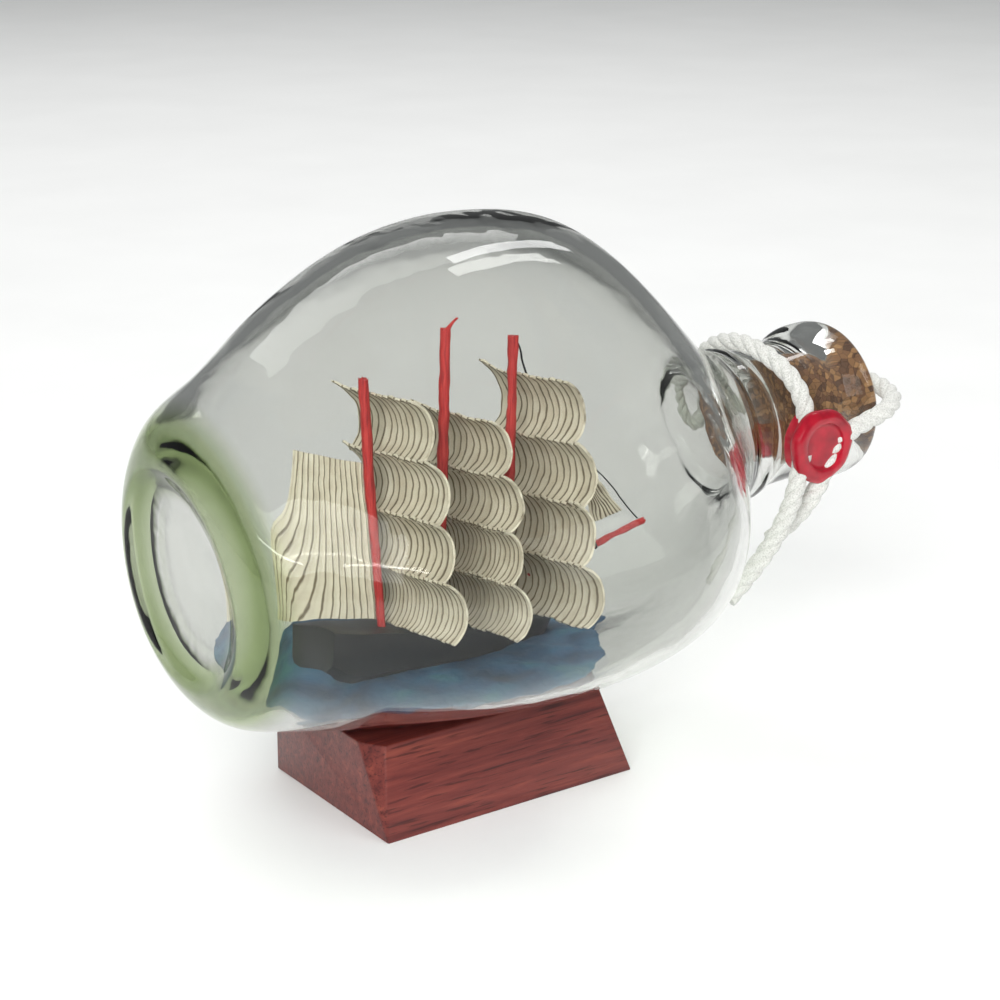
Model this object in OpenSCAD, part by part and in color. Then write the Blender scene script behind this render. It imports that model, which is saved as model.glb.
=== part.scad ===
// Ship in a bottle: a three-masted ship on blue putty inside a pinched, three-sided glass
// bottle that lies on a small wooden stand.  The frame's origin is the centre of the stand's
// underside, +X runs toward the neck, -Y is the front and +Z is up.  All sizes are millimetres.

/* [Bottle] */
// Length from the foot to the root of the neck
body_l = 100; // [80:1:125]
// Mean radius of the body at its widest
belly_r = 36.8; // [30:0.1:46]
// Radius of the heel, just above the foot
heel_r = 24.4; // [20:0.1:27]
// Radius of the flat foot
foot_r = 17.5; // [12:0.1:19]
// How far the three rounded ridges stand out from the mean radius, as a share of it
ridge = 0.20; // [0:0.01:0.24]
// How much fuller the shoulder is on its upper side, as a share of the radius
crown = 0.09; // [0:0.01:0.12]
// Thickness of the glass in the body
glass_wall = 1.8; // [1.4:0.1:3]
// Extra glass in the heel, on top of the wall
heel_glass = 2.4; // [0:0.1:3]
// Thickness of the floor of the bottle
floor_t = 4; // [3:0.1:7]
// Depth of the hollow under the foot
punt_depth = 2; // [0.5:0.1:3]

/* [Neck and closure] */
// Length of the neck from its root to the lip's face
neck_l = 25.5; // [22:0.5:36]
// Outer radius of the neck tube
neck_r = 11.7; // [10.5:0.1:14]
// Radius of the lip
lip_r = 13.6; // [12.8:0.1:16]
// Width of the lip along the neck
lip_w = 7; // [5:0.1:9]
// Radius of the bore
bore_r = 9.2; // [6.5:0.1:9.8]
// Length of the cork
cork_l = 17; // [12:0.5:24]
// How far the cork stands out of the lip
cork_proud = 2; // [1:0.1:4]
// Space between the cork and the bore
cork_gap = 0.1; // [0.05:0.01:0.3]
// Diameter of the cotton cord tied round the neck
cord_d = 3.2; // [2:0.1:3.6]
// Diameter of the wax seal
seal_d = 12.6; // [9:0.1:14]
// Thickness of the wax over the neck
seal_t = 4.6; // [3.5:0.1:6]

/* [How the bottle lies] */
// Height of the bottle's axis above the table, at the pivot station
axis_h = 46; // [44:0.1:60]
// Station of the pivot, from the foot
pivot_l = 65; // [50:1:80]
// How far the neck is lifted
neck_lift = 3.4; // [0:0.1:6]
// How far the upper ridge is turned away from the front
bottle_roll = 19; // [0:1:30]
// Distance of the foot behind the stand's centre
foot_back = 47.5; // [35:0.5:65]

/* [Stand] */
// Length of the stand at its underside
stand_l = 46; // [36:0.5:64]
// Width of the stand at its underside
stand_w = 33.5; // [26:0.5:48]
// Height of the stand
stand_h = 14; // [11.5:0.1:15]
// How far the front face leans in over the height
front_lean = 4.2; // [0:0.1:6]
// How far the back face leans in over the height
back_lean = 0.3; // [0:0.1:4]
// How far the neck end leans in over the height
neck_end_lean = 3.6; // [0:0.1:6]
// Width of the sliver cut from the front corner, along the front edge
facet_front = 2.5; // [0.5:0.1:6]
// Width of the sliver cut from the front corner, along the end edge
facet_end = 4; // [0.5:0.1:8]
// Space between the glass and the saddle cut
saddle_gap = 0.3; // [0.2:0.05:0.6]

/* [Ship] */
// Length of the hull
hull_l = 45.5; // [38:0.5:48]
// Width of the hull
hull_w = 12; // [8:0.1:14]
// Height of the deck above the ship's own datum
deck_h = 4.2; // [3:0.1:5]
// Depth of the keel below the ship's own datum
keel_h = 3.2; // [2:0.1:4]
// Height of the keel over the glass amidships
keel_clear = 4.1; // [2.8:0.1:5]
// Diameter of the masts
mast_d = 1.6; // [1:0.1:2]
// Diameter of the bowsprit
bowsprit_d = 1.1; // [0.8:0.1:1.6]
// Thickness of the sails
sail_t = 0.4; // [0.3:0.05:0.6]
// How far a square sail bellies forward
belly = 3.2; // [1.5:0.1:3.6]
// Space between one sail and the next below it
sail_gap = 0.4; // [0.2:0.05:1]
// Thickness of the rigging thread
thread_d = 0.3; // [0.3:0.05:0.6]
// How far the ship heels away from the front
ship_heel = 7; // [0:0.5:12]
// How far the bow dips
bow_dip = 6.5; // [0:0.5:9]
// Swing of the spanker toward the back
boom_swing = 10; // [0:1:18]

/* [Sea] */
// Distance of the putty's surface below the ship's datum
water_drop = 1.4; // [0.5:0.1:2.5]
// How far the putty's surface dips toward the bow
sea_dip = 1.5; // [-2:0.5:4]
// How far the putty's surface dips toward the back
sea_heel = 5; // [0:0.5:8]
// Height of the ripples in the putty
ripple = 0.25; // [0:0.05:0.5]
// Space between the putty and the glass
putty_gap = 0.4; // [0.3:0.05:0.6]

/* [Hidden] */

// Sides of every ring of the bottle
SIDES = 36;
RIDGE_AT = 90 - bottle_roll;
cork_r = bore_r * cos(180 / SIDES) - cork_gap;
bottle_l = body_l + neck_l;

// ---- small helpers ----
function unit(v) = v / norm(v);
function clamp(v, low, high) = max(low, min(high, v));
function mix(a, b, t) = a + (b - a) * t;

// A smooth value through [place, value, ...] stations, column c, at place x
function slope_at(s, i, c) =
    i == 0 ? (s[1][c] - s[0][c]) / (s[1][0] - s[0][0]) :
    i == len(s) - 1 ? (s[i][c] - s[i-1][c]) / (s[i][0] - s[i-1][0]) :
    (s[i+1][c] - s[i-1][c]) / (s[i+1][0] - s[i-1][0]);
function span_of(s, x, i = 0) = i >= len(s) - 2 || x <= s[i+1][0] ? i : span_of(s, x, i + 1);
function smooth_value(s, x, c) =
    let(i = span_of(s, x), h = s[i+1][0] - s[i][0], t = clamp((x - s[i][0]) / h, 0, 1))
    (1 + 2*t) * (1 - t) * (1 - t) * s[i][c] + t * (1 - t) * (1 - t) * h * slope_at(s, i, c)
    + t * t * (3 - 2*t) * s[i+1][c] + t * t * (t - 1) * h * slope_at(s, i + 1, c);

// Joins rings of n points into a closed solid; the first and last rings are capped
module loft(rings) {
    n = len(rings[0]);
    polyhedron(
        points = [for (ring = rings) each ring],
        faces = concat(
            [[for (j = [0:n-1]) j]],
            [for (i = [0:len(rings)-2], j = [0:n-1])
                [i*n + j, (i+1)*n + j, (i+1)*n + (j+1) % n, i*n + (j+1) % n]],
            [[for (j = [0:n-1]) (len(rings)-1)*n + n - 1 - j]]));
}

// Joins rings that start and end at a single point each
module loft_to_points(first, rings, last) {
    n = len(rings[0]);
    m = len(rings);
    polyhedron(
        points = concat([first], [for (ring = rings) each ring], [last]),
        faces = concat(
            [for (j = [0:n-1]) [0, 1 + (j+1) % n, 1 + j]],
            [for (i = [0:m-2], j = [0:n-1]) each [
                [1 + i*n + j, 1 + (i+1)*n + (j+1) % n, 1 + (i+1)*n + j],
                [1 + i*n + j, 1 + i*n + (j+1) % n, 1 + (i+1)*n + (j+1) % n]]],
            [for (j = [0:n-1]) [1 + m*n, 1 + (m-1)*n + j, 1 + (m-1)*n + (j+1) % n]]));
}

// A route rounded through its points, with steps places for each span
function catmull(p0, p1, p2, p3, t) =
    0.5 * (2*p1 + (p2 - p0) * t + (2*p0 - 5*p1 + 4*p2 - p3) * t*t
           + (3*p1 - p0 - 3*p2 + p3) * t*t*t);
function rounded_route(p, steps) = concat(
    [for (i = [0:len(p)-2], k = [0:steps-1])
        catmull(p[max(i-1, 0)], p[i], p[i+1], p[min(i+2, len(p)-1)], k / steps)],
    [p[len(p)-1]]);

// A round tube along a route; the ring's first direction is carried along without twist
function route_way(p, i) = unit(p[min(i+1, len(p)-1)] - p[max(i-1, 0)]);
function square_to(n, way) = unit(n - way * (n * way));
module tube(route, radius, sides, start_side) {
    first = square_to(start_side, route_way(route, 0));
    normals = [for (i = 0, n = first; i < len(route);
                    i = i + 1, n = i < len(route) ? square_to(n, route_way(route, i)) : n) n];
    loft([for (i = [0:len(route)-1])
        let(way = route_way(route, i), side = cross(way, normals[i]))
        [for (j = [0:sides-1])
            route[i] + radius * (cos(360*j/sides) * normals[i] + sin(360*j/sides) * side)]]);
}

// ---- the bottle's shape ----
// Outline of the body: station from the foot, mean radius, share of the ridge
shoulder = belly_r - neck_r - 1.2;
swell = belly_r - heel_r;
BODY = [
    [0, foot_r, 0.1],
    [1.2, mix(foot_r, heel_r, 0.41), 0.1],
    [4.5, heel_r, 0.15],
    [0.12 * body_l, heel_r + 0.23 * swell, 0.25],
    [0.24 * body_l, heel_r + 0.64 * swell, 0.55],
    [0.38 * body_l, heel_r + 0.94 * swell, 0.8],
    [0.52 * body_l, belly_r, 1],
    [0.64 * body_l, belly_r - 0.06 * shoulder, 1.05],
    [0.74 * body_l, belly_r - 0.17 * shoulder, 0.85],
    [0.82 * body_l, belly_r - 0.37 * shoulder, 0.58],
    [0.89 * body_l, belly_r - 0.66 * shoulder, 0.3],
    [0.95 * body_l, belly_r - 0.91 * shoulder, 0.05],
    [body_l, neck_r + 1.2, 0]];
RIDGE_EDGE = 0.1;

function body_radius(x) = smooth_value(BODY, x, 1);
function ridge_share(x) = x >= body_l ? 0 : ridge * smooth_value(BODY, x, 2);
function crown_share(x) = crown * exp(-pow((x - 0.8 * body_l) / (0.13 * body_l), 2));
function three_sided(x, a) = let(u = 3 * (a - RIDGE_AT))
    1 + ridge_share(x) * (cos(u) + RIDGE_EDGE * cos(2 * u))
    + (x >= body_l ? 0 : crown_share(x) * pow(max(0, sin(a)), 2));
function body_slope(x) = (body_radius(x + 0.5) - body_radius(x - 0.5));
function heel_wall(x) = glass_wall + heel_glass * pow(clamp(1 - (x - floor_t) / 14, 0, 1), 2);
function inner_radius(x) =
    max(bore_r, body_radius(x) - heel_wall(x) * sqrt(1 + pow(body_slope(x), 2)));

function bottle_ring(x, r) = [for (j = [0:SIDES-1]) let(a = RIDGE_AT - 360 * j / SIDES)
    [x, r * three_sided(x, a) * cos(a), r * three_sided(x, a) * sin(a)]];

bead_r = neck_r + 1.5;
NECK = [
    [body_l + 1.5, bead_r], [body_l + 3, bead_r - 0.2], [body_l + 4.5, neck_r + 0.3],
    [body_l + 6, neck_r], [bottle_l - lip_w - 2.5, neck_r], [bottle_l - lip_w - 1, neck_r + 1],
    [bottle_l - lip_w + 0.6, lip_r], [bottle_l - 1.5, lip_r], [bottle_l, lip_r - 1.3]];

outer_x = concat([0, 0.5, 1.2, 2.5, 4.5], [for (i = [0:25]) mix(8, body_l, i / 25)]);
// Height of the rounded corner between the floor and the wall
corner_h = 3.4;
inner_x = [for (i = [0:19]) mix(body_l - 1, floor_t + corner_h, i / 19)];
floor_r = inner_radius(floor_t + corner_h);

module glass() {
    loft_to_points(
        [punt_depth, 0, 0],
        concat(
            [bottle_ring(punt_depth, 0.6 * foot_r), bottle_ring(0.6 * punt_depth, 0.82 * foot_r)],
            [bottle_ring(0, 0.93 * foot_r)],
            [for (x = outer_x) bottle_ring(x, body_radius(x))],
            [for (n = NECK) bottle_ring(n[0], n[1])],
            [bottle_ring(bottle_l, bore_r + 1), bottle_ring(bottle_l - 0.8, bore_r),
             bottle_ring(body_l + 2, bore_r)],
            [for (x = inner_x) bottle_ring(x, inner_radius(x))],
            [bottle_ring(floor_t + 0.45 * corner_h, 0.96 * floor_r),
             bottle_ring(floor_t + 0.14 * corner_h, 0.87 * floor_r),
             bottle_ring(floor_t, 0.7 * floor_r)]),
        [floor_t, 0, 0]);
}

// Puts something drawn along the bottle's own axis where the bottle lies
module in_bottle() {
    translate([pivot_l - foot_back, 0, axis_h]) rotate([0, -neck_lift, 0])
        translate([-pivot_l, 0, 0]) children();
}

// ---- the ship's place ----
// The ship is built to suit the room in the bottle
ship_scale = min((belly_r - glass_wall) / 35, body_l / 100);
ship_l = 0.384 * body_l;
LOW_SIDE = RIDGE_AT + 180;
function inner_point(x, a, gap) = let(r = inner_radius(x) * three_sided(x, a) - gap)
    [x, r * cos(a), r * sin(a)];
floor_low = inner_point(ship_l, LOW_SIDE, 0)[2];
ship_z = floor_low + (keel_h + keel_clear) * ship_scale;
ship_y = -5 * ship_scale;

module in_ship() {
    in_bottle() translate([ship_l, ship_y, ship_z])
        rotate([-ship_heel, bow_dip + neck_lift, 0]) scale(ship_scale) children();
}

// ---- masts and sails, in the ship's own frame ----
// Station, rake toward the stern, height, top of the sails, pitch of the sail rows
MIZZEN = [-9.2, 4.8, 42.3, 39.8, 8.65];
MAIN = [2.1, 0, 49.2, 36, 7.85];
FORE = [14.3, -0.5, 47.6, 41.5, 9.1];
// Width and shift toward the front, from the course up to the royal
SAIL_W = [27, 24, 23, 20];
SAIL_Y = [-4, -3, -3, -1];

stern_x = -0.47 * hull_l;
bow_x = stern_x + hull_l;
function hull_share(x) = (x - stern_x) / hull_l;
function deck_at(x) = deck_h + 1.4 * pow(abs(hull_share(x) - 0.5) * 2, 2);
function keel_at(x) = let(s = hull_share(x))
    -keel_h + 2.2 * pow(clamp((0.16 - s) / 0.16, 0, 1), 2)
    + 5.5 * pow(clamp((s - 0.8) / 0.2, 0, 1), 2);
function beam_at(x) = let(s = hull_share(x))
    0.5 * hull_w * (s < 0.45 ? 0.72 + 0.28 * sin(200 * s) :
                    pow(cos(90 * clamp((s - 0.45) / 0.56, 0, 1)), 0.62));

function hull_ring(x, grow) =
    let(b = beam_at(x) + grow, top = deck_at(x) + grow, low = keel_at(x) - grow, h = top - low)
    [[x, b, top], [x, 0.98 * b, low + 0.55 * h], [x, 0.82 * b, low + 0.2 * h], [x, 0.4 * b, low],
     [x, -0.4 * b, low], [x, -0.82 * b, low + 0.2 * h], [x, -0.98 * b, low + 0.55 * h],
     [x, -b, top]];
module hull_form(grow = 0) {
    ends = [stern_x - grow, bow_x + grow];
    loft([for (i = [20:-1:0]) let(x = mix(ends[0], ends[1], i / 20))
        hull_ring(clamp(x, stern_x, bow_x), grow) + [for (k = [1:8]) [x - clamp(x, stern_x, bow_x), 0, 0]]]);
}

module mast(m) {
    color("firebrick") in_ship()
        translate([m[0], 0, deck_at(m[0])]) rotate([0, -m[1], 0])
            cylinder(h = m[2] - deck_at(m[0]), d = mast_d, $fn = 24);
}

// One square sail: an arc in side view, straight across the ship
module square_sail(m, row) {
    chord = m[4] - sail_gap;
    arc_r = (chord * chord / 4 + belly * belly) / (2 * belly);
    half = asin(chord / 2 / arc_r);
    top = m[3] - deck_at(m[0]) - (3 - row) * m[4];
    color("antiquewhite") in_ship()
        translate([m[0], 0, deck_at(m[0])]) rotate([0, -m[1], 0])
            translate([mast_d / 2 + 0.02, SAIL_Y[row], top - chord / 2])
                rotate([90, 0, 0]) translate([belly - arc_r, 0, -SAIL_W[row] / 2])
                    linear_extrude(SAIL_W[row]) difference() {
                        intersection() {
                            circle(r = arc_r + sail_t, $fn = 64);
                            translate([arc_r - belly, -chord / 2])
                                square([belly + 2 * sail_t, chord]);
                        }
                        circle(r = arc_r, $fn = 64);
                    }
}

bowsprit_foot = [FORE[0] + mast_d / 2 + 0.15, 0, 8.2];
bowsprit_tip = [42, 0, 16.1];
bowsprit_way = bowsprit_tip - bowsprit_foot;
module along_bowsprit(start) {
    translate(bowsprit_foot + start * unit(bowsprit_way))
        rotate([0, atan2(bowsprit_way[0], bowsprit_way[2]), 0]) children();
}

// ---- sea ----
sea_from = floor_t + 5.5;
sea_to = 0.8 * body_l;
function sea_height(x, y) = let(s = (x - sea_from) / (sea_to - sea_from))
    ship_z - (x - ship_l) * tan(sea_dip + neck_lift) - water_drop * ship_scale
    - (y - ship_y) * tan(sea_heel) - 3 * pow(abs(2 * s - 1), 6)
    + ripple * (sin(37 * x + 11 * y) + sin(29 * y - 13 * x)) / 2;
function shore(x, way, a = 0) = let(p = inner_point(x, LOW_SIDE + way * a, putty_gap))
    a >= 62 || p[2] + 0.4 > sea_height(x, p[1]) ? a : shore(x, way, a + 2);
SEA_ACROSS = 14;
function sea_ring(x) =
    let(low_a = LOW_SIDE - shore(x, -1), high_a = LOW_SIDE + shore(x, 1),
        bed = [for (i = [0:SEA_ACROSS]) inner_point(x, mix(low_a, high_a, i / SEA_ACROSS), putty_gap)])
    concat(bed, [for (i = [SEA_ACROSS:-1:0]) [x, bed[i][1], max(bed[i][2] + 0.3, sea_height(x, bed[i][1]))]]);

// ---- the cord's route on the neck, along the bottle's own axis ----
CORD_ROUTE = [
    [91.6, -13, -24.4], [95.5, -14.4, -20.2], [99.5, -15.4, -15.4], [103.4, -15.4, -10],
    [106.4, -14.2, -5], [108.2, -13.5, 0], [108.8, -12.6, 4.8], [108.4, -10.2, 8.9],
    [107.2, -6.2, 12], [106.2, -1.6, 13.4], [105.8, 3, 13.1], [105.6, 7.6, 11],
    [105.8, 11.4, 7], [106.2, 13.2, 2.4], [107.4, 13.3, -1.6], [109.2, 13, -3.2],
    [111.6, 13.1, -2.8], [114.6, 13.7, -0.6], [117.6, 15, 1.6], [121.8, 15.2, 3],
    [126, 14.4, 3.6], [128.8, 11.4, 4], [129.3, 7, 4.2], [129.3, 1, 3.8],
    [129.3, -5, 3.2], [129.1, -10, 2.6], [127.5, -13.6, 2], [124.2, -15.4, 1.2],
    [120.2, -15.3, 0.2], [116.4, -14.9, -1], [113.4, -14, -3.4], [110.8, -14.6, -7.6],
    [107.4, -13.6, -12.6], [103, -10.6, -17.6]];

// ---- the pieces ----
module stand() {
    x0 = -stand_l / 2;
    y0 = -stand_w / 2;
    y1 = stand_w / 2;
    corners = [
        [x0, y0, 0], [-x0, y0, 0], [-x0, y1, 0], [x0, y1, 0],
        [x0 + facet_front, y0 + front_lean, stand_h],
        [-x0 - neck_end_lean, y0 + front_lean, stand_h],
        [-x0 - neck_end_lean, y1 - back_lean, stand_h],
        [x0, y1 - back_lean, stand_h],
        [x0, y0 + front_lean + facet_end, stand_h]];
    faces = [[0, 1, 2, 3], [8, 7, 6, 5, 4], [0, 4, 5, 1], [1, 5, 6, 2], [2, 6, 7, 3],
             [3, 7, 8, 0], [0, 8, 4]];
    // The saddle is the glass's own underside, opened out by the gap
    from_x = foot_back - stand_l / 2 - 6;
    rows = 12;
    turns = 14;
    under = [for (i = [0:rows]) let(x = mix(from_x, from_x + stand_l + 12, i / rows))
        [for (j = [0:turns]) let(a = mix(198, 328, j / turns),
            r = body_radius(x) * three_sided(x, a) + saddle_gap + 0.15)
            [x, r * cos(a), r * sin(a)]]];
    // Every face of the cut block is flat, so it stays a plain set of facets
    color("saddlebrown") resize([0, 0, 0]) difference() {
        polyhedron(corners, faces);
        in_bottle() loft([for (ring = under)
            concat(ring, [for (j = [turns:-1:0]) [ring[j][0], ring[j][1], 0]])]);
    }
}
module bottle() { color("lightcyan", 0.35) in_bottle() glass(); }
module cork() {
    color("sienna") in_bottle() translate([bottle_l + cork_proud - cork_l, 0, 0])
        rotate([0, 90, 0]) union() {
            cylinder(h = cork_l - 0.6, r = cork_r, $fn = 48);
            translate([0, 0, cork_l - 0.6]) cylinder(h = 0.6, r1 = cork_r, r2 = cork_r - 0.6, $fn = 48);
        }
}
module neck_cord() {
    color("gainsboro") in_bottle()
        tube(rounded_route(CORD_ROUTE, 2), cord_d / 2, 8, [0, 0, 1]);
}
module wax_seal() {
    color("crimson") in_bottle() translate([body_l + 10.4, -neck_r + 0.5, -1.8])
        rotate([90, 0, 0]) rotate_extrude($fn = 48) difference() {
            union() {
                square([seal_d / 2 - 1, seal_t + 0.4]);
                translate([seal_d / 2 - 1.4, seal_t - 0.9]) circle(r = 1.4, $fn = 24);
            }
            translate([-1, seal_t - 0.5]) square([seal_d / 2 - 1.4, 2]);
        }
}
module sea() {
    color("steelblue") resize([0, 0, 0]) difference() {
        in_bottle() loft([for (i = [0:24]) sea_ring(mix(sea_from, sea_to, i / 24))]);
        in_ship() hull_form(0.06);
    }
}
module hull() { color("black") in_ship() hull_form(); }
module mizzen_mast() { mast(MIZZEN); }
module main_mast() { mast(MAIN); }
module fore_mast() { mast(FORE); }
module bowsprit() {
    color("firebrick") in_ship() along_bowsprit(0)
        cylinder(h = norm(bowsprit_way), d = bowsprit_d, $fn = 20);
}
module mizzen_course() { square_sail(MIZZEN, 0); }
module mizzen_topsail() { square_sail(MIZZEN, 1); }
module mizzen_topgallant() { square_sail(MIZZEN, 2); }
module mizzen_royal() { square_sail(MIZZEN, 3); }
module main_course() { square_sail(MAIN, 0); }
module main_topsail() { square_sail(MAIN, 1); }
module main_topgallant() { square_sail(MAIN, 2); }
module main_royal() { square_sail(MAIN, 3); }
module fore_course() {
    // The bowsprit passes through the foot of this sail
    difference() {
        square_sail(FORE, 0);
        in_ship() along_bowsprit(0.2) cylinder(h = 9, d = bowsprit_d + 0.4, $fn = 20);
    }
}
module fore_topsail() { square_sail(FORE, 1); }
module fore_topgallant() { square_sail(FORE, 2); }
module fore_royal() { square_sail(FORE, 3); }
module spanker() {
    // Head, luff down the mast, foot and leech, measured aft of the mast and above the deck
    outline = [[-0.05, 25.5], [-0.05, 1.2], [-16.2, 3.4], [-15.6, 10], [-13.4, 18], [-11, 28.5]];
    color("antiquewhite") in_ship() translate([MIZZEN[0], 0, deck_at(MIZZEN[0])])
        rotate([0, -MIZZEN[1], 0]) rotate([0, 0, -boom_swing])
            translate([-mast_d / 2, 0, 0]) rotate([90, 0, 0])
                linear_extrude(sail_t, center = true) polygon(outline);
}
module jib() {
    // Head, tack and clew, just abaft the forestay
    outline = [[28.6, 26.6], [37.4, 18.1], [35, 17], [31.5, 16.8], [30, 21]];
    color("antiquewhite") in_ship() rotate([90, 0, 0])
        linear_extrude(sail_t, center = true) polygon(outline);
}
module forestay() {
    top = [FORE[0] + mast_d / 2 + thread_d / 2 + 0.3, 0, FORE[2] - 1.2];
    over_sail = [FORE[0] + mast_d / 2 + belly + sail_t + 0.6, 0, 38.4];
    low = bowsprit_tip + [-1.4, 0, bowsprit_d / 2 - 0.1];
    color("black") in_ship()
        tube(concat(rounded_route([top, over_sail, mix(over_sail, low, 0.5), low], 4)),
             thread_d / 2, 8, [0, 1, 0]);
}
module bowsprit_lashing() {
    color("black") in_ship() along_bowsprit(0.62 * norm(bowsprit_way))
        rotate_extrude($fn = 24) translate([bowsprit_d / 2 + thread_d / 2, 0])
            circle(d = thread_d, $fn = 16);
}

stand();
bottle();
cork();
neck_cord();
wax_seal();
sea();
hull();
mizzen_mast();
main_mast();
fore_mast();
bowsprit();
mizzen_course();
mizzen_topsail();
mizzen_topgallant();
mizzen_royal();
main_course();
main_topsail();
main_topgallant();
main_royal();
fore_course();
fore_topsail();
fore_topgallant();
fore_royal();
spanker();
jib();
forestay();
bowsprit_lashing();
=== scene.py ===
"""Ship in a bottle: looks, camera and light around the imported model.

Sizes are in millimetres, and become metres where they are multiplied by MM.
"""
import math
import random

import bpy
from mathutils import Matrix, Vector, noise


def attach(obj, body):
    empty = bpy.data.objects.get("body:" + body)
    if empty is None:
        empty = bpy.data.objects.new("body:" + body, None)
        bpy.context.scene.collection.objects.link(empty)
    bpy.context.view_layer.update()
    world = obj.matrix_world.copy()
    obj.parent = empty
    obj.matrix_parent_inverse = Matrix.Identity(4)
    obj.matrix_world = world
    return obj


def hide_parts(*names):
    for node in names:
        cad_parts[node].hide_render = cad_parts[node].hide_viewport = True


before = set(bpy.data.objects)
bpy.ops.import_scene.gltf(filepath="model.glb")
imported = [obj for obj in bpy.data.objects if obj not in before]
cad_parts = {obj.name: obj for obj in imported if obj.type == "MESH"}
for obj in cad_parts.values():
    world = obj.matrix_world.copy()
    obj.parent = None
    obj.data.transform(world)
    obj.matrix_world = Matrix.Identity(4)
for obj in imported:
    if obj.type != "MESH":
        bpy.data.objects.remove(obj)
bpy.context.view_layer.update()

MM = 0.001
BODY = "bottle"
random.seed(7)


# ---------- where the bottle and the ship lie ----------
def turn(degrees, axis):
    return Matrix.Rotation(math.radians(degrees), 4, axis)


def shift(x, y, z):
    return Matrix.Translation((x, y, z))


NECK_LIFT = 3.4          # degrees
PIVOT = 65               # station of the pivot from the foot
FOOT_BACK = 47.5         # distance of the foot behind the stand's centre
AXIS_H = 46              # height of the pivot above the table
SHIP_HEEL = 7            # degrees away from the front
BOW_DIP = 6.5            # degrees
IN_BOTTLE = shift(PIVOT - FOOT_BACK, 0, AXIS_H) @ turn(-NECK_LIFT, "Y") @ shift(-PIVOT, 0, 0)
SHIP_PLACE = (38.4, -5, -20.42)
IN_SHIP = (IN_BOTTLE @ shift(*SHIP_PLACE) @ turn(BOW_DIP + NECK_LIFT, "Y")
           @ turn(-SHIP_HEEL, "X"))
# Station, rake toward the stern, height, top of the sails, pitch of the sail rows
MASTS = {"mizzen": (-9.2, 4.8, 42.3, 39.8, 8.65), "main": (2.1, 0, 49.2, 36, 7.85),
         "fore": (14.3, -0.5, 47.6, 41.5, 9.1)}
ROWS = ("course", "topsail", "topgallant", "royal")
SAIL_W = (27, 24, 23, 20)
SAIL_Y = (-4, -3, -3, -1)
FINE_RIBBED = (("main", 1), ("main", 0), ("mizzen", 0))
FINE_SHARE = 0.72        # rib spacing of those sails, as a share of the others'
MAST_D = 1.6
BELLY = 3.2
HEEL_END = 6.5           # station where the green of the heel has faded
SAIL_T = 0.4
RIB = 1.7                # spacing of the sails' ribs
HULL_L = 45.5
CORD_D = 3.2


def deck_at(x):
    """Height of the hull's sheer line at station x."""
    share = (x + 0.47 * HULL_L) / HULL_L
    return 4.2 + 1.4 * (abs(share - 0.5) * 2) ** 2


# ---------- camera ----------
def add_camera():
    """An 86 mm lens, above and to the left of the foot end."""
    turned, above = math.radians(35.5), math.radians(18.7)
    distance = 382.5
    away = Vector((-math.sin(turned) * math.cos(above), -math.cos(turned) * math.cos(above),
                   math.sin(above)))
    right = Vector((math.cos(turned), -math.sin(turned), 0))
    up = away.cross(right)
    place = Vector((17.5, 0, 40)) + away * distance
    data = bpy.data.cameras.new("camera")
    data.lens = 86.4
    data.sensor_width = 36
    data.shift_x, data.shift_y = -0.043, 0.013
    data.clip_start = 0.01
    camera = bpy.data.objects.new("camera", data)
    bpy.context.scene.collection.objects.link(camera)
    basis = Matrix((right, up, away)).transposed().to_4x4()
    camera.matrix_world = Matrix.Translation(place * MM) @ basis
    bpy.context.scene.camera = camera


# ---------- materials ----------
def colour(hex_text):
    """sRGB hex to linear, with alpha 1."""
    out = []
    for i in (0, 2, 4):
        c = int(hex_text[i:i + 2], 16) / 255
        out.append(c / 12.92 if c <= 0.04045 else ((c + 0.055) / 1.055) ** 2.4)
    return (*out, 1)


def new_material(name):
    """A material with its node tree and its Principled shader."""
    mat = bpy.data.materials.new(name)
    mat.use_nodes = True
    tree = mat.node_tree
    shader = tree.nodes["Principled BSDF"]
    return mat, tree, shader


def add(tree, kind, settings=None, **inputs):
    """Adds a node with its settings; each input is a value or the socket that feeds it."""
    node = tree.nodes.new(kind)
    for key, value in (settings or {}).items():
        setattr(node, key, value)
    for key, value in inputs.items():
        socket = node.inputs[int(key[1:])] if key[0] == "_" else node.inputs[key.replace("_", " ")]
        if isinstance(value, bpy.types.NodeSocket):
            tree.links.new(value, socket)
        else:
            socket.default_value = value
    return node


def ramp(tree, factor, *stops):
    """A colour ramp through (place, hex) stops."""
    node = add(tree, "ShaderNodeValToRGB", None, Fac=factor)
    elements = node.color_ramp.elements
    while len(elements) < len(stops):
        elements.new(0.5)
    for element, (place, hex_text) in zip(elements, stops):
        element.position = place
        element.color = colour(hex_text)
    return node.outputs["Color"]


def object_place(tree, matrix=None):
    """Object coordinates in millimetres, turned into the frame of matrix where one is given."""
    coords = add(tree, "ShaderNodeTexCoord").outputs["Object"]
    sized = add(tree, "ShaderNodeVectorMath", {"operation": "SCALE"}, _0=coords, Scale=1 / MM)
    if matrix is None:
        return sized.outputs[0]
    back = matrix.inverted()
    mapped = add(tree, "ShaderNodeMapping", {"vector_type": "POINT"}, Vector=sized.outputs[0],
                 Location=back.to_translation(), Rotation=back.to_euler())
    return mapped.outputs[0]


def bump(tree, shader, height, strength, distance_mm):
    """Relief of that height from the height socket."""
    node = add(tree, "ShaderNodeBump", None, Height=height, Strength=strength,
               Distance=distance_mm * MM)
    tree.links.new(node.outputs[0], shader.inputs["Normal"])


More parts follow.
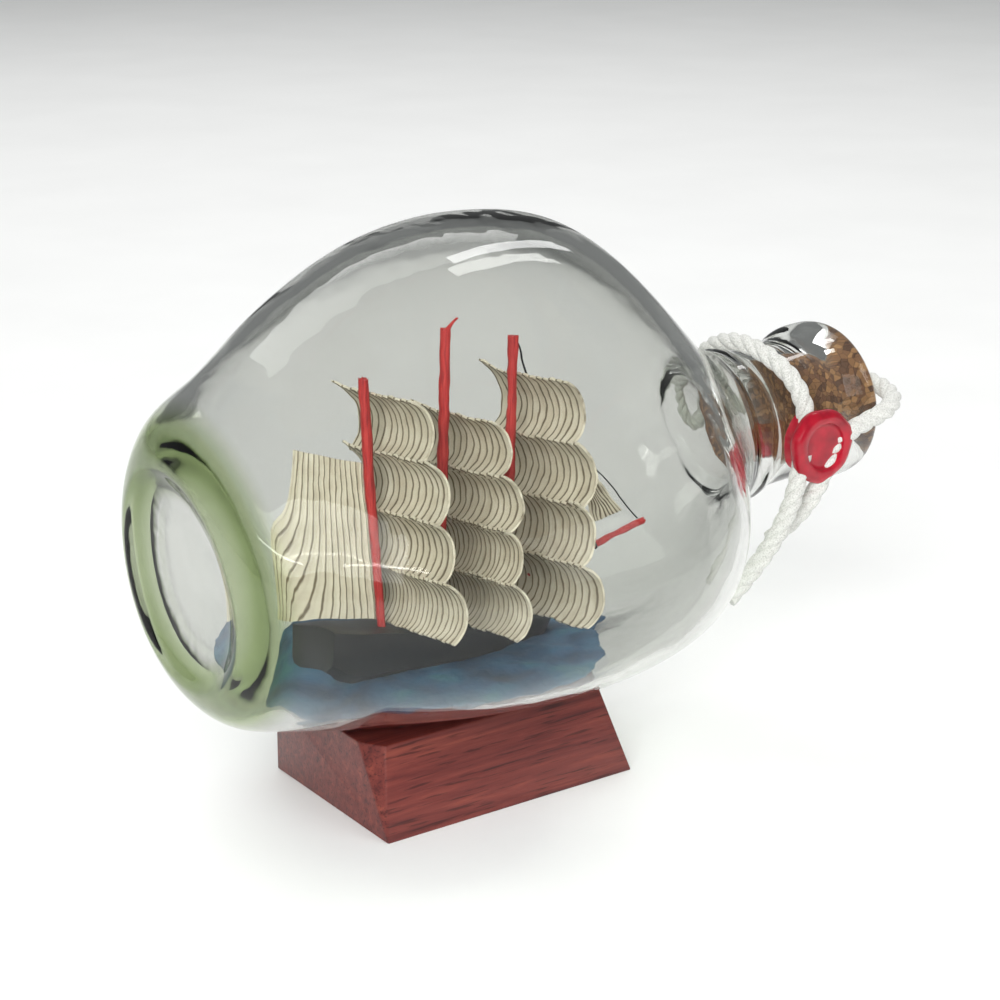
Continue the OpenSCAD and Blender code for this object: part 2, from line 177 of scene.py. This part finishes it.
def glass_material():
    """Soda-lime bottle glass, blown in a mould: clear wall, olive green where the heel is thick."""
    mat, tree, shader = new_material("soda_lime_glass")
    place = object_place(tree, IN_BOTTLE)
    parts = add(tree, "ShaderNodeSeparateXYZ", None, Vector=place)
    across = add(tree, "ShaderNodeCombineXYZ", None, Y=parts.outputs["Y"], Z=parts.outputs["Z"])
    radius = add(tree, "ShaderNodeVectorMath", {"operation": "LENGTH"}, _0=across.outputs[0])
    near_foot = add(tree, "ShaderNodeMapRange", None, Value=parts.outputs["X"], From_Min=HEEL_END,
                    From_Max=2).outputs[0]
    off_axis = add(tree, "ShaderNodeMapRange", None, Value=radius.outputs["Value"], From_Min=12,
                   From_Max=16).outputs[0]
    heel = add(tree, "ShaderNodeMath", {"operation": "MULTIPLY"}, _0=near_foot, _1=off_axis)
    tint = ramp(tree, heel.outputs[0], (0.0, "E2E3E0"), (0.3, "C6CDB8"), (0.7, "93A276"),
                (1.0, "77875A"))
    tree.links.new(tint, shader.inputs["Base Color"])
    shader.inputs["Transmission Weight"].default_value = 1
    shader.inputs["IOR"].default_value = 1.5
    shader.inputs["Roughness"].default_value = 0.0
    # Half the mirroring of bare glass, so that the pale floor does not veil the ship
    shader.inputs["Specular Tint"].default_value = (0.5, 0.5, 0.5, 1)
    # The waviness of a moulded wall, a few millimetres across
    waves = add(tree, "ShaderNodeTexNoise", None, Vector=place, Scale=0.09, Detail=2.0)
    bump(tree, shader, waves.outputs[0], 0.25, 0.6)
    # Light from the lamps passes straight through the wall to the ship
    path = add(tree, "ShaderNodeLightPath")
    clear = add(tree, "ShaderNodeBsdfTransparent", None, Color=(0.86, 0.88, 0.86, 1))
    mix = add(tree, "ShaderNodeMixShader", None, _0=path.outputs["Is Shadow Ray"],
              _1=shader.outputs[0], _2=clear.outputs[0])
    tree.links.new(mix.outputs[0], tree.nodes["Material Output"].inputs["Surface"])
    return mat


def wood_material():
    """Hardwood stained dark red under satin lacquer: the grain runs along the stand."""
    mat, tree, shader = new_material("stained_hardwood")
    place = object_place(tree)
    long_grain = add(tree, "ShaderNodeMapping", None, Vector=place, Scale=(0.05, 0.9, 0.9))
    rings = add(tree, "ShaderNodeTexNoise", None, Vector=long_grain.outputs[0], Scale=0.8,
                Detail=6.0, Roughness=0.62, Distortion=0.5)
    base = ramp(tree, rings.outputs[0], (0.25, "3A1415"), (0.42, "5E2420"), (0.58, "6F3029"),
                (0.78, "8C4434"))
    pores = add(tree, "ShaderNodeMapping", None, Vector=place, Scale=(0.16, 2.6, 2.6))
    streaks = add(tree, "ShaderNodeTexNoise", None, Vector=pores.outputs[0], Scale=0.9, Detail=3.0)
    dark = ramp(tree, streaks.outputs[0], (0.34, "4A1A18"), (0.44, "FFFFFF"))
    mixed = add(tree, "ShaderNodeMix", {"data_type": "RGBA", "blend_type": "MULTIPLY"},
                _0=0.6, _6=base, _7=dark)
    tree.links.new(mixed.outputs[2], shader.inputs["Base Color"])
    bump(tree, shader, streaks.outputs[0], 0.35, 0.12)
    shader.inputs["Roughness"].default_value = 0.42
    shader.inputs["Coat Weight"].default_value = 0.25
    shader.inputs["Coat Roughness"].default_value = 0.3
    return mat


def cork_material():
    """Agglomerated cork: pressed granules about 1 mm across with dark seams between them."""
    mat, tree, shader = new_material("agglomerated_cork")
    place = object_place(tree)
    cells = add(tree, "ShaderNodeTexVoronoi", None, Vector=place, Scale=1.1)
    seams = add(tree, "ShaderNodeTexVoronoi", {"feature": "DISTANCE_TO_EDGE"}, Vector=place,
                Scale=1.1)
    tone = add(tree, "ShaderNodeSeparateColor", None, Color=cells.outputs["Color"]).outputs[0]
    base = ramp(tree, tone, (0.0, "4A3427"), (0.4, "6B4A35"), (0.75, "83603F"), (1.0, "9A7550"))
    edge = ramp(tree, seams.outputs["Distance"], (0.0, "5A4030"), (0.06, "FFFFFF"))
    mixed = add(tree, "ShaderNodeMix", {"data_type": "RGBA", "blend_type": "MULTIPLY"},
                _0=0.8, _6=base, _7=edge)
    tree.links.new(mixed.outputs[2], shader.inputs["Base Color"])
    grit = add(tree, "ShaderNodeTexNoise", None, Vector=place, Scale=2.2, Detail=4.0)
    bump(tree, shader, grit.outputs[0], 0.6, 0.25)
    shader.inputs["Roughness"].default_value = 0.85
    return mat


def cotton_material():
    """Bleached cotton yarn, spun and plied: matt, with painted shade grey scattered through its
    colour.
    """
    mat, tree, shader = new_material("plied_cotton")
    fibres = add(tree, "ShaderNodeTexNoise", None, Vector=object_place(tree), Scale=4.5, Detail=4.0)
    # The grey low stop is painted shade, the cord's shaded tone, spread by fine noise
    tint = ramp(tree, fibres.outputs[0], (0.3, "A9A9A3"), (0.5, "CFCFCA"), (0.7, "DEDEDA"))
    tree.links.new(tint, shader.inputs["Base Color"])
    bump(tree, shader, fibres.outputs[0], 0.7, 0.15)
    shader.inputs["Roughness"].default_value = 0.9
    shader.inputs["Sheen Weight"].default_value = 0.3
    return mat


def wax_material():
    """Sealing wax, poured and stamped: deep red, glossy, light enters it a little way."""
    mat, tree, shader = new_material("sealing_wax")
    cloud = add(tree, "ShaderNodeTexNoise", None, Vector=object_place(tree), Scale=0.35, Detail=3.0)
    tint = ramp(tree, cloud.outputs[0], (0.3, "85061C"), (0.6, "A80A24"), (0.8, "B8142C"))
    tree.links.new(tint, shader.inputs["Base Color"])
    shader.inputs["Roughness"].default_value = 0.22
    shader.inputs["Subsurface Weight"].default_value = 0.25
    shader.inputs["Subsurface Radius"].default_value = (0.002, 0.0004, 0.0004)
    shader.inputs["Coat Weight"].default_value = 0.2
    bump(tree, shader, cloud.outputs[0], 0.3, 0.5)
    return mat


def putty_material():
    """Blue modelling putty, pressed by hand: matt, blotched where the two blues were kneaded."""
    mat, tree, shader = new_material("blue_putty")
    place = object_place(tree)
    blotch = add(tree, "ShaderNodeTexNoise", None, Vector=place, Scale=0.13, Detail=3.0)
    tint = ramp(tree, blotch.outputs[0], (0.3, "122B3E"), (0.46, "1A4262"), (0.58, "235472"),
                (0.72, "2F6874"))
    tree.links.new(tint, shader.inputs["Base Color"])
    dents = add(tree, "ShaderNodeTexNoise", None, Vector=place, Scale=0.8, Detail=5.0)
    bump(tree, shader, dents.outputs[0], 0.5, 0.4)
    shader.inputs["Roughness"].default_value = 0.6
    return mat


def black_paint_material():
    """Black enamel on a carved softwood hull: satin, with specks of dust."""
    mat, tree, shader = new_material("black_enamel")
    place = object_place(tree)
    specks = add(tree, "ShaderNodeTexVoronoi", None, Vector=place, Scale=0.3, Randomness=1.0)
    tint = ramp(tree, specks.outputs["Distance"], (0.03, "3E434A"), (0.05, "090B0E"))
    tree.links.new(tint, shader.inputs["Base Color"])
    brush = add(tree, "ShaderNodeTexNoise", None, Vector=place, Scale=0.6, Detail=4.0)
    bump(tree, shader, brush.outputs[0], 0.2, 0.1)
    shader.inputs["Roughness"].default_value = 0.5
    return mat


def red_paint_material():
    """Thin red paint on birch sticks: satin, with the grain showing through."""
    mat, tree, shader = new_material("red_painted_birch")
    place = object_place(tree, IN_SHIP)
    grain = add(tree, "ShaderNodeMapping", None, Vector=place, Scale=(3.5, 3.5, 0.25))
    streaks = add(tree, "ShaderNodeTexNoise", None, Vector=grain.outputs[0], Scale=1.0, Detail=4.0)
    tint = ramp(tree, streaks.outputs[0], (0.3, "861A1E"), (0.5, "AB2A2A"), (0.75, "C0403C"))
    tree.links.new(tint, shader.inputs["Base Color"])
    bump(tree, shader, streaks.outputs[0], 0.6, 0.15)
    shader.inputs["Roughness"].default_value = 0.55
    return mat


def sail_material():
    """Stiff cream paper, ribbed, with brown lines in the furrows: matt, a little fibrous."""
    mat, tree, shader = new_material("stiff_ribbed_paper")
    uv = add(tree, "ShaderNodeUVMap", {"uv_map": "ribs"}).outputs[0]
    across = add(tree, "ShaderNodeSeparateXYZ", None, Vector=uv)
    place = object_place(tree)
    wander = add(tree, "ShaderNodeTexNoise", None, Vector=place, Scale=0.5, Detail=2.0)
    shifted = add(tree, "ShaderNodeMath", {"operation": "MULTIPLY_ADD"}, _0=wander.outputs[0],
                  _1=0.25, _2=across.outputs["X"])
    furrow = add(tree, "ShaderNodeMath", {"operation": "PINGPONG"}, _0=shifted.outputs[0], _1=0.5)
    fibres = add(tree, "ShaderNodeTexNoise", None, Vector=place, Scale=0.3, Detail=4.0)
    cream = ramp(tree, fibres.outputs[0], (0.3, "BDB4A1"), (0.55, "CCC4B2"), (0.8, "D8D1C1"))
    line = ramp(tree, furrow.outputs[0], (0.04, "6B5D49"), (0.13, "FFFFFF"))
    mixed = add(tree, "ShaderNodeMix", {"data_type": "RGBA", "blend_type": "MULTIPLY"},
                _0=0.9, _6=cream, _7=line)
    tree.links.new(mixed.outputs[2], shader.inputs["Base Color"])
    bump(tree, shader, fibres.outputs[0], 0.3, 0.1)
    shader.inputs["Roughness"].default_value = 0.85
    return mat


def thread_material():
    """Black cotton sewing thread: matt and a little uneven."""
    mat, tree, shader = new_material("black_cotton_thread")
    uneven = add(tree, "ShaderNodeTexNoise", None, Vector=object_place(tree), Scale=9.0, Detail=2.0)
    tint = ramp(tree, uneven.outputs[0], (0.3, "101012"), (0.8, "2A2A2E"))
    tree.links.new(tint, shader.inputs["Base Color"])
    shader.inputs["Roughness"].default_value = 0.9
    return mat


def floor_material():
    """A plain pale painted board."""
    mat, tree, shader = new_material("pale_board")
    grain = add(tree, "ShaderNodeTexNoise", None, Vector=object_place(tree), Scale=0.02, Detail=3.0)
    tint = ramp(tree, grain.outputs[0], (0.3, "F4F4F3"), (0.8, "F8F8F7"))
    tree.links.new(tint, shader.inputs["Base Color"])
    shader.inputs["Roughness"].default_value = 0.9
    return mat


# ---------- modelling helpers ----------
def choose(obj):
    """Makes obj the only selected object, and the active one."""
    bpy.ops.object.select_all(action="DESELECT")
    obj.select_set(True)
    bpy.context.view_layer.objects.active = obj


def apply(obj, kind, **settings):
    """Adds a modifier with its settings and applies it."""
    choose(obj)
    modifier = obj.modifiers.new(kind.lower(), kind)
    for key, value in settings.items():
        setattr(modifier, key, value)
    bpy.ops.object.modifier_apply(modifier=modifier.name)


def edit(obj, *steps):
    """Runs edit-mode operators on everything in obj."""
    choose(obj)
    bpy.ops.object.mode_set(mode="EDIT")
    bpy.ops.mesh.select_all(action="SELECT")
    for operator, settings in steps:
        operator(**settings)
    bpy.ops.object.mode_set(mode="OBJECT")


def from_node(node, name):
    """A merged copy of a CAD node's mesh, to be worked on."""
    source = bpy.data.objects[node]
    mesh = source.data.copy()
    mesh.materials.clear()
    obj = bpy.data.objects.new(name, mesh)
    bpy.context.scene.collection.objects.link(obj)
    edit(obj, (bpy.ops.mesh.remove_doubles, {"threshold": 0.00001}))
    return obj


def finish_piece(obj, mat, slot, body, *nodes):
    """Gives obj its material and body, and hides the CAD nodes it stands for; slot is not used."""
    obj.data.materials.clear()
    obj.data.materials.append(mat)
    choose(obj)
    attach(obj, body)
    if nodes:
        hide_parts(*nodes)


def smooth(obj, degrees=None):
    choose(obj)
    if degrees is None:
        bpy.ops.object.shade_smooth()
    else:
        bpy.ops.object.shade_smooth_by_angle(angle=math.radians(degrees))


def roughen(obj, amount_mm, scale_mm):
    """Moves each point along its normal by soft noise of that height and width."""
    normals = [v.normal.copy() for v in obj.data.vertices]
    for vertex, normal in zip(obj.data.vertices, normals):
        vertex.co += normal * noise.noise(vertex.co / (scale_mm * MM)) * amount_mm * MM


# ---------- pieces ----------
def make_bottle(mat):
    obj = from_node("bottle", "bottle_glass")
    edit(obj, (bpy.ops.mesh.tris_convert_to_quads, {}))
    apply(obj, "SUBSURF", levels=2, render_levels=2)
    smooth(obj)
    finish_piece(obj, mat, "bottle_glass", BODY, "bottle")


def make_stand(mat):
    obj = from_node("stand", "stand_block")
    edit(obj, (bpy.ops.mesh.dissolve_limited, {"angle_limit": math.radians(4)}))
    apply(obj, "BEVEL", width=0.6 * MM, segments=3, limit_method="ANGLE",
          angle_limit=math.radians(30))
    smooth(obj, 40)
    finish_piece(obj, mat, "stained_wood", "stand", "stand")


def make_cork(mat):
    obj = from_node("cork", "cork_stopper")
    apply(obj, "REMESH", mode="VOXEL", voxel_size=0.35 * MM)
    roughen(obj, 0.1, 1.2)
    smooth(obj)
    finish_piece(obj, mat, "cork", BODY, "cork")


def make_sea(mat):
    obj = from_node("sea", "putty_sea")
    apply(obj, "REMESH", mode="VOXEL", voxel_size=0.45 * MM)
    apply(obj, "SMOOTH", factor=0.5, iterations=4)
    roughen(obj, 0.35, 4.5)
    roughen(obj, 0.12, 1.4)
    smooth(obj)
    finish_piece(obj, mat, "blue_putty", BODY, "sea")


def make_hull(mat):
    obj = from_node("hull", "carved_hull")
    edit(obj, (bpy.ops.mesh.dissolve_limited, {"angle_limit": math.radians(1)}))
    apply(obj, "BEVEL", width=0.35 * MM, segments=3, limit_method="ANGLE",
          angle_limit=math.radians(35))
    smooth(obj, 45)
    finish_piece(obj, mat, "black_paint", BODY, "hull")


def make_seal(mat):
    """A poured drop of wax, pressed by a plain round stamp that leaves a wavy rim."""
    obj = from_node("wax_seal", "wax_drop")
    apply(obj, "REMESH", mode="VOXEL", voxel_size=0.22 * MM)
    centre = IN_BOTTLE @ Vector((110.4, -14, -1.8))
    for vertex in obj.data.vertices:
        flat = vertex.co / MM - centre
        flat.y = 0
        angle = math.atan2(flat.z, flat.x)
        rim = max(0, flat.length / 6.3 - 0.6)
        wave = 0.35 * math.sin(3 * angle + 1) + 0.22 * math.sin(7 * angle)
        vertex.co += flat.normalized() * wave * rim * 1.6 * MM if flat.length else flat
    apply(obj, "SMOOTH", factor=0.5, iterations=5)
    roughen(obj, 0.1, 2.5)
    smooth(obj)
    finish_piece(obj, mat, "sealing_wax", BODY, "wax_seal")


def ribbed_shell(name, columns, rows, place_of, ribs_of, mat, node):
    """Stiff ribbed paper: a grid put where place_of says and thickened on both sides."""
    bpy.ops.object.select_all(action="DESELECT")
    bpy.ops.mesh.primitive_grid_add(x_subdivisions=columns, y_subdivisions=rows, size=2)
    obj = bpy.context.object
    obj.name = name
    mesh = obj.data
    mesh.uv_layers.new(name="ribs")
    flats = [((v.co.x + 1) / 2, (v.co.y + 1) / 2) for v in mesh.vertices]
    for loop in mesh.loops:
        s, t = flats[loop.vertex_index]
        mesh.uv_layers["ribs"].data[loop.index].uv = (ribs_of(s, t), t)
    for vertex, (s, t) in zip(mesh.vertices, flats):
        vertex.co = (IN_SHIP @ Vector(place_of(s, t))) * MM
    mesh.update()
    apply(obj, "SOLIDIFY", thickness=SAIL_T * 0.8 * MM, offset=0)
    smooth(obj, 50)
    finish_piece(obj, mat, "striped_sail", BODY, node)


def furrow_depth(ribs):
    """How far a rib stands out: round ribs with narrow furrows between them."""
    return 0.22 * abs(math.sin(math.pi * ribs)) ** 0.5


def make_square_sail(mast, row, mat):
    """One bellied sail on a mast: s runs across the ship and t from foot to head."""
    station, rake, _, sails_top, pitch = MASTS[mast]
    near = 2 if mast == "fore" else 0.5
    width, middle = SAIL_W[row] + near, SAIL_Y[row] - near / 2
    rib_w = RIB * (FINE_SHARE if (mast, row) in FINE_RIBBED else 1)
    chord = pitch + 0.5
    arc_r = (chord ** 2 / 4 + BELLY ** 2) / (2 * BELLY)
    half = math.asin(chord / 2 / arc_r)
    top = sails_top - deck_at(station) - (3 - row) * pitch
    lean = math.radians(rake)
    seed = 10 * row + len(mast) * 3
    ragged = [random.uniform(-0.25, 0.25) for _ in range(80)]

    def ribs_of(s, t):
        return width * s / rib_w

    def place_of(s, t):
        y = middle - width / 2 + width * s
        swing = half * (2 * t - 1)
        belly_here = arc_r * math.cos(swing) - arc_r * math.cos(half)
        z = top - chord / 2 + arc_r * math.sin(swing)
        # Each rib ends at its own height, rounded, which scallops the head and the foot
        ribs = ribs_of(s, t)
        edge = max(0, abs(2 * t - 1) - 0.75) * 4
        scallop = ragged[int(ribs) % 80] + 0.3 * abs(math.sin(math.pi * ribs)) ** 0.6
        z += scallop * edge * (1 if t > 0.5 else -1) * 0.6
        far_curl = max(0, s - 0.72) / 0.28
        curl = (far_curl ** 2) * t ** 3 * (1.5 if row == 3 else 0.5)
        soft = 0.5 * noise.noise(Vector((s * 2.3, t * 1.7, seed)))
        x = MAST_D / 2 + 0.22 + belly_here + furrow_depth(ribs) + soft * (1 - abs(2 * t - 1))
        x += 0.9 * (1 - t) ** 2          # the foot hangs in front of the next sail's head
        x -= 0.9 * curl
        z += 0.9 * curl
        x, z = (x * math.cos(lean) - z * math.sin(lean), x * math.sin(lean) + z * math.cos(lean))
        return (station + x, y, deck_at(station) + z)

    ribbed_shell(f"{mast}_{ROWS[row]}_paper", int(width / rib_w * 8), 26, place_of, ribs_of, mat,
                 f"{mast}_{ROWS[row]}")


def between(a, b, t):
    return tuple(p + (q - p) * t for p, q in zip(a, b))


def make_spanker(mat):
    """The fore-and-aft sail behind the mizzen mast, ribs sweeping aft toward its foot."""
    station, rake, *_ = MASTS["mizzen"]
    lean, swing = math.radians(rake), math.radians(10)

    def leech(t):
        return -18.5 + 7 * t ** 0.8

    def ribs_of(s, t):
        return 13 * s

    def place_of(s, t):
        aft = leech(t) * (1 - s) - 0.15
        foot, head = 2.6 * (1 - s) + 1.3, 28.3 * (1 - s) + 25.3 * s
        up = foot + (head - foot) * t
        x = -MAST_D / 2 + aft
        y = 0.9 * math.sin(math.pi * t) * (1 - s) + furrow_depth(ribs_of(s, t))
        x, y = x * math.cos(swing) + y * math.sin(swing), -x * math.sin(swing) + y * math.cos(swing)
        x, up = x * math.cos(lean) - up * math.sin(lean), x * math.sin(lean) + up * math.cos(lean)
        return (station + x, y, deck_at(station) + up)

    ribbed_shell("spanker_paper", 90, 40, place_of, ribs_of, mat, "spanker")


def make_jib(mat):
    """The small sail under the forestay, with a jagged front edge."""
    head, tack, clew = (28.9, 0, 26.8), (37.2, 0, 18.2), (31.4, 0, 16.8)

    def ribs_of(s, t):
        return 8 * s

    def place_of(s, t):
        low = between(clew, tack, s)
        high = between(clew, head, 0.96)
        high = between(high, head, s)
        x, y, z = between(low, high, t * (0.98 - 0.06 * (int(8 * s) % 2)))
        return (x, y + furrow_depth(8 * s) + 0.3 * math.sin(math.pi * t), z)

    ribbed_shell("jib_paper", 48, 16, place_of, ribs_of, mat, "jib")


CORD_ROUTE = [
    (91.6, -13, -24.4), (95.5, -14.4, -20.2), (99.5, -15.4, -15.4), (103.4, -15.4, -10),
    (106.4, -14.2, -5), (108.2, -13.5, 0), (108.8, -12.6, 4.8), (108.4, -10.2, 8.9),
    (107.2, -6.2, 12), (106.2, -1.6, 13.4), (105.8, 3, 13.1), (105.6, 7.6, 11),
    (105.8, 11.4, 7), (106.2, 13.2, 2.4), (107.4, 13.3, -1.6), (109.2, 13, -3.2),
    (111.6, 13.1, -2.8), (114.6, 13.7, -0.6), (117.6, 15, 1.6), (121.8, 15.2, 3),
    (126, 14.4, 3.6), (128.8, 11.4, 4), (129.3, 7, 4.2), (129.3, 1, 3.8),
    (129.3, -5, 3.2), (129.1, -10, 2.6), (127.5, -13.6, 2), (124.2, -15.4, 1.2),
    (120.2, -15.3, 0.2), (116.4, -14.9, -1), (113.4, -14, -3.4), (110.8, -14.6, -7.6),
    (107.4, -13.6, -12.6), (103, -10.6, -17.6)]


def rounded_route(points, steps):
    """The route rounded through its points."""
    p = [Vector(q) for q in points]
    out = []
    for i in range(len(p) - 1):
        a, b, c, d = p[max(i - 1, 0)], p[i], p[i + 1], p[min(i + 2, len(p) - 1)]
        for k in range(steps):
            t = k / steps
            out.append(0.5 * (2 * b + (c - a) * t + (2 * a - 5 * b + 4 * c - d) * t * t
                              + (3 * b - a - 3 * c + d) * t ** 3))
    return out + [p[-1]]


def route_length(route):
    return sum((b - a).length for a, b in zip(route, route[1:]))


def make_cord(mat):
    """Three plied strands laid round one route, cut square at both ends."""
    route = rounded_route(CORD_ROUTE, 12)
    strands, lay_mm, strand_r = 3, 8.0, 0.95
    curves = bpy.data.curves.new("cord_strands", "CURVE")
    curves.dimensions = "3D"
    curves.bevel_depth = strand_r * MM
    curves.bevel_resolution = 3
    curves.use_fill_caps = True
    for strand in range(strands):
        spline = curves.splines.new("POLY")
        spline.points.add(len(route) - 1)
        normal = Vector((0, 0, 1))
        run = 0
        for i, point in enumerate(route):
            way = (route[min(i + 1, len(route) - 1)] - route[max(i - 1, 0)]).normalized()
            normal = (normal - way * normal.dot(way)).normalized()
            side = way.cross(normal)
            if i:
                run += (point - route[i - 1]).length
            angle = 2 * math.pi * (strand / strands + run / lay_mm)
            offset = (normal * math.cos(angle) + side * math.sin(angle)) * (CORD_D / 2 - strand_r)
            place = (IN_BOTTLE @ (point + offset)) * MM
            spline.points[i].co = (*place, 1)
    obj = bpy.data.objects.new("cotton_cord", curves)
    bpy.context.scene.collection.objects.link(obj)
    choose(obj)
    bpy.ops.object.convert(target="MESH")
    obj = bpy.context.object
    smooth(obj)
    finish_piece(obj, mat, "cotton_cord", BODY, "neck_cord")
    path = [(IN_BOTTLE @ p) * MM for p in route]
    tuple(path[0])
    route_length(route) * MM


def make_stick(name, node, mat, foot, tip, radius, ragged_end):
    """A painted stick, a little uneven along its length, with a broken end at its tip."""
    foot, tip = Vector(foot), Vector(tip)
    length = (tip - foot).length
    cuts = 40
    bpy.ops.object.select_all(action="DESELECT")
    bpy.ops.mesh.primitive_cylinder_add(vertices=14, radius=radius * MM, depth=length * MM,
                                        end_fill_type="NGON")
    obj = bpy.context.object
    obj.name = name
    bpy.ops.object.mode_set(mode="EDIT")
    for cut in range(1, cuts):
        bpy.ops.mesh.select_all(action="SELECT")
        bpy.ops.mesh.bisect(plane_co=(0, 0, (cut / cuts - 0.5) * length * MM), plane_no=(0, 0, 1))
    bpy.ops.mesh.select_all(action="SELECT")
    bpy.ops.mesh.normals_make_consistent(inside=False)
    bpy.ops.object.mode_set(mode="OBJECT")
    aim = (tip - foot).to_track_quat("Z", "Y").to_matrix().to_4x4()
    lay = IN_SHIP @ Matrix.Translation(foot) @ aim
    for vertex in obj.data.vertices:
        local = vertex.co / MM
        up = local.z + length / 2
        side = math.atan2(local.y, local.x)
        if local.xy.length:
            local.xy *= 1 + 0.1 * noise.noise(Vector((side, up * 0.35, len(name))))
        if up > length - 0.01 and local.xy.length > radius * 0.3:
            up += ragged_end * noise.noise(Vector((math.cos(side) * 2, math.sin(side) * 2, length)))
        vertex.co = (lay @ Vector((local.x, local.y, up))) * MM
    smooth(obj, 50)
    finish_piece(obj, mat, "red_paint", BODY, node)


def make_sticks(mat):
    for mast, (station, rake, height, *_) in MASTS.items():
        deck = deck_at(station)
        lean = math.radians(rake)
        up = height - deck
        make_stick(f"{mast}_mast_stick", f"{mast}_mast", mat, (station, 0, deck),
                   (station - up * math.sin(lean), 0, deck + up * math.cos(lean)),
                   MAST_D / 2, 0.9)
    make_stick("bowsprit_stick", "bowsprit", mat, (19, 0, 9.31), (42, 0, 16.1), 0.55, 0.8)


def make_splinter(mat):
    """The split top of the main mast: a thin sliver bent forward."""
    bpy.ops.object.select_all(action="DESELECT")
    bpy.ops.mesh.primitive_cone_add(vertices=7, radius1=0.5 * MM, radius2=0.12 * MM, depth=3.4 * MM)
    obj = bpy.context.object
    obj.name = "main_mast_splinter"
    station, _, height, *_ = MASTS["main"]
    bpy.ops.object.mode_set(mode="EDIT")
    bpy.ops.mesh.select_all(action="SELECT")
    bpy.ops.mesh.subdivide(number_cuts=3)
    bpy.ops.object.mode_set(mode="OBJECT")
    lay = IN_SHIP @ shift(station + 0.75, 0, height + 0.3) @ turn(38, "Y")
    for vertex in obj.data.vertices:
        local = vertex.co / MM
        local.x += 0.25 * (local.z / 1.7) ** 2
        vertex.co = (lay @ local) * MM
    roughen(obj, 0.15, 0.6)
    smooth(obj, 40)
    finish_piece(obj, mat, "red_paint", BODY)


def set_material(node, mat):
    for slot in bpy.data.objects[node].material_slots:
        slot.material = mat


# ---------- light and floor ----------
def add_light(name, place, aim, size, power, seen=False):
    """An area light; seen says that glass and gloss mirror it."""
    data = bpy.data.lights.new(name, "AREA")
    data.shape = "RECTANGLE"
    data.size, data.size_y = size
    data.energy = power
    light = bpy.data.objects.new(name, data)
    bpy.context.scene.collection.objects.link(light)
    light.visible_glossy = seen
    light.location = place
    light.rotation_euler = (Vector(aim) - Vector(place)).to_track_quat("-Z", "Y").to_euler()


def add_studio():
    bpy.ops.object.select_all(action="DESELECT")
    bpy.ops.mesh.primitive_plane_add(size=8)
    floor = bpy.context.object
    floor.name = "floor"
    floor.data.materials.append(floor_material())
    middle = (0.02, 0, 0.045)
    add_light("softbox", (-0.55, -0.55, 0.5), middle, (0.6, 0.6), 8)
    add_light("fill", (0.4, -0.8, 0.5), middle, (0.6, 0.6), 3)
    add_light("back", (0.2, 0.6, 0.9), middle, (1.0, 0.6), 6)
    add_light("tube", (-0.5, -0.5, 0.35), middle, (0.6, 0.02), 0.5, seen=True)
    add_light("pane", (0.35, 0.1, 0.6), middle, (0.06, 0.2), 0.4, seen=True)
    world = bpy.data.worlds.new("studio")
    bpy.context.scene.world = world
    world.use_nodes = True
    background = world.node_tree.nodes["Background"]
    background.inputs["Color"].default_value = colour("C9CCCC")
    background.inputs["Strength"].default_value = 0.4
    bpy.context.scene.view_settings.view_transform = "Standard"


def build():
    add_camera()
    make_cord(cotton_material())
    add_studio()
    make_bottle(glass_material())
    make_stand(wood_material())
    make_cork(cork_material())
    make_seal(wax_material())
    make_sea(putty_material())
    make_hull(black_paint_material())
    red = red_paint_material()
    make_sticks(red)
    make_splinter(red)
    thread = thread_material()
    for node in ("forestay", "bowsprit_lashing"):
        set_material(node, thread)
    sail = sail_material()
    for mast in MASTS:
        for row in range(len(ROWS)):
            make_square_sail(mast, row, sail)
    make_spanker(sail)
    make_jib(sail)


build()
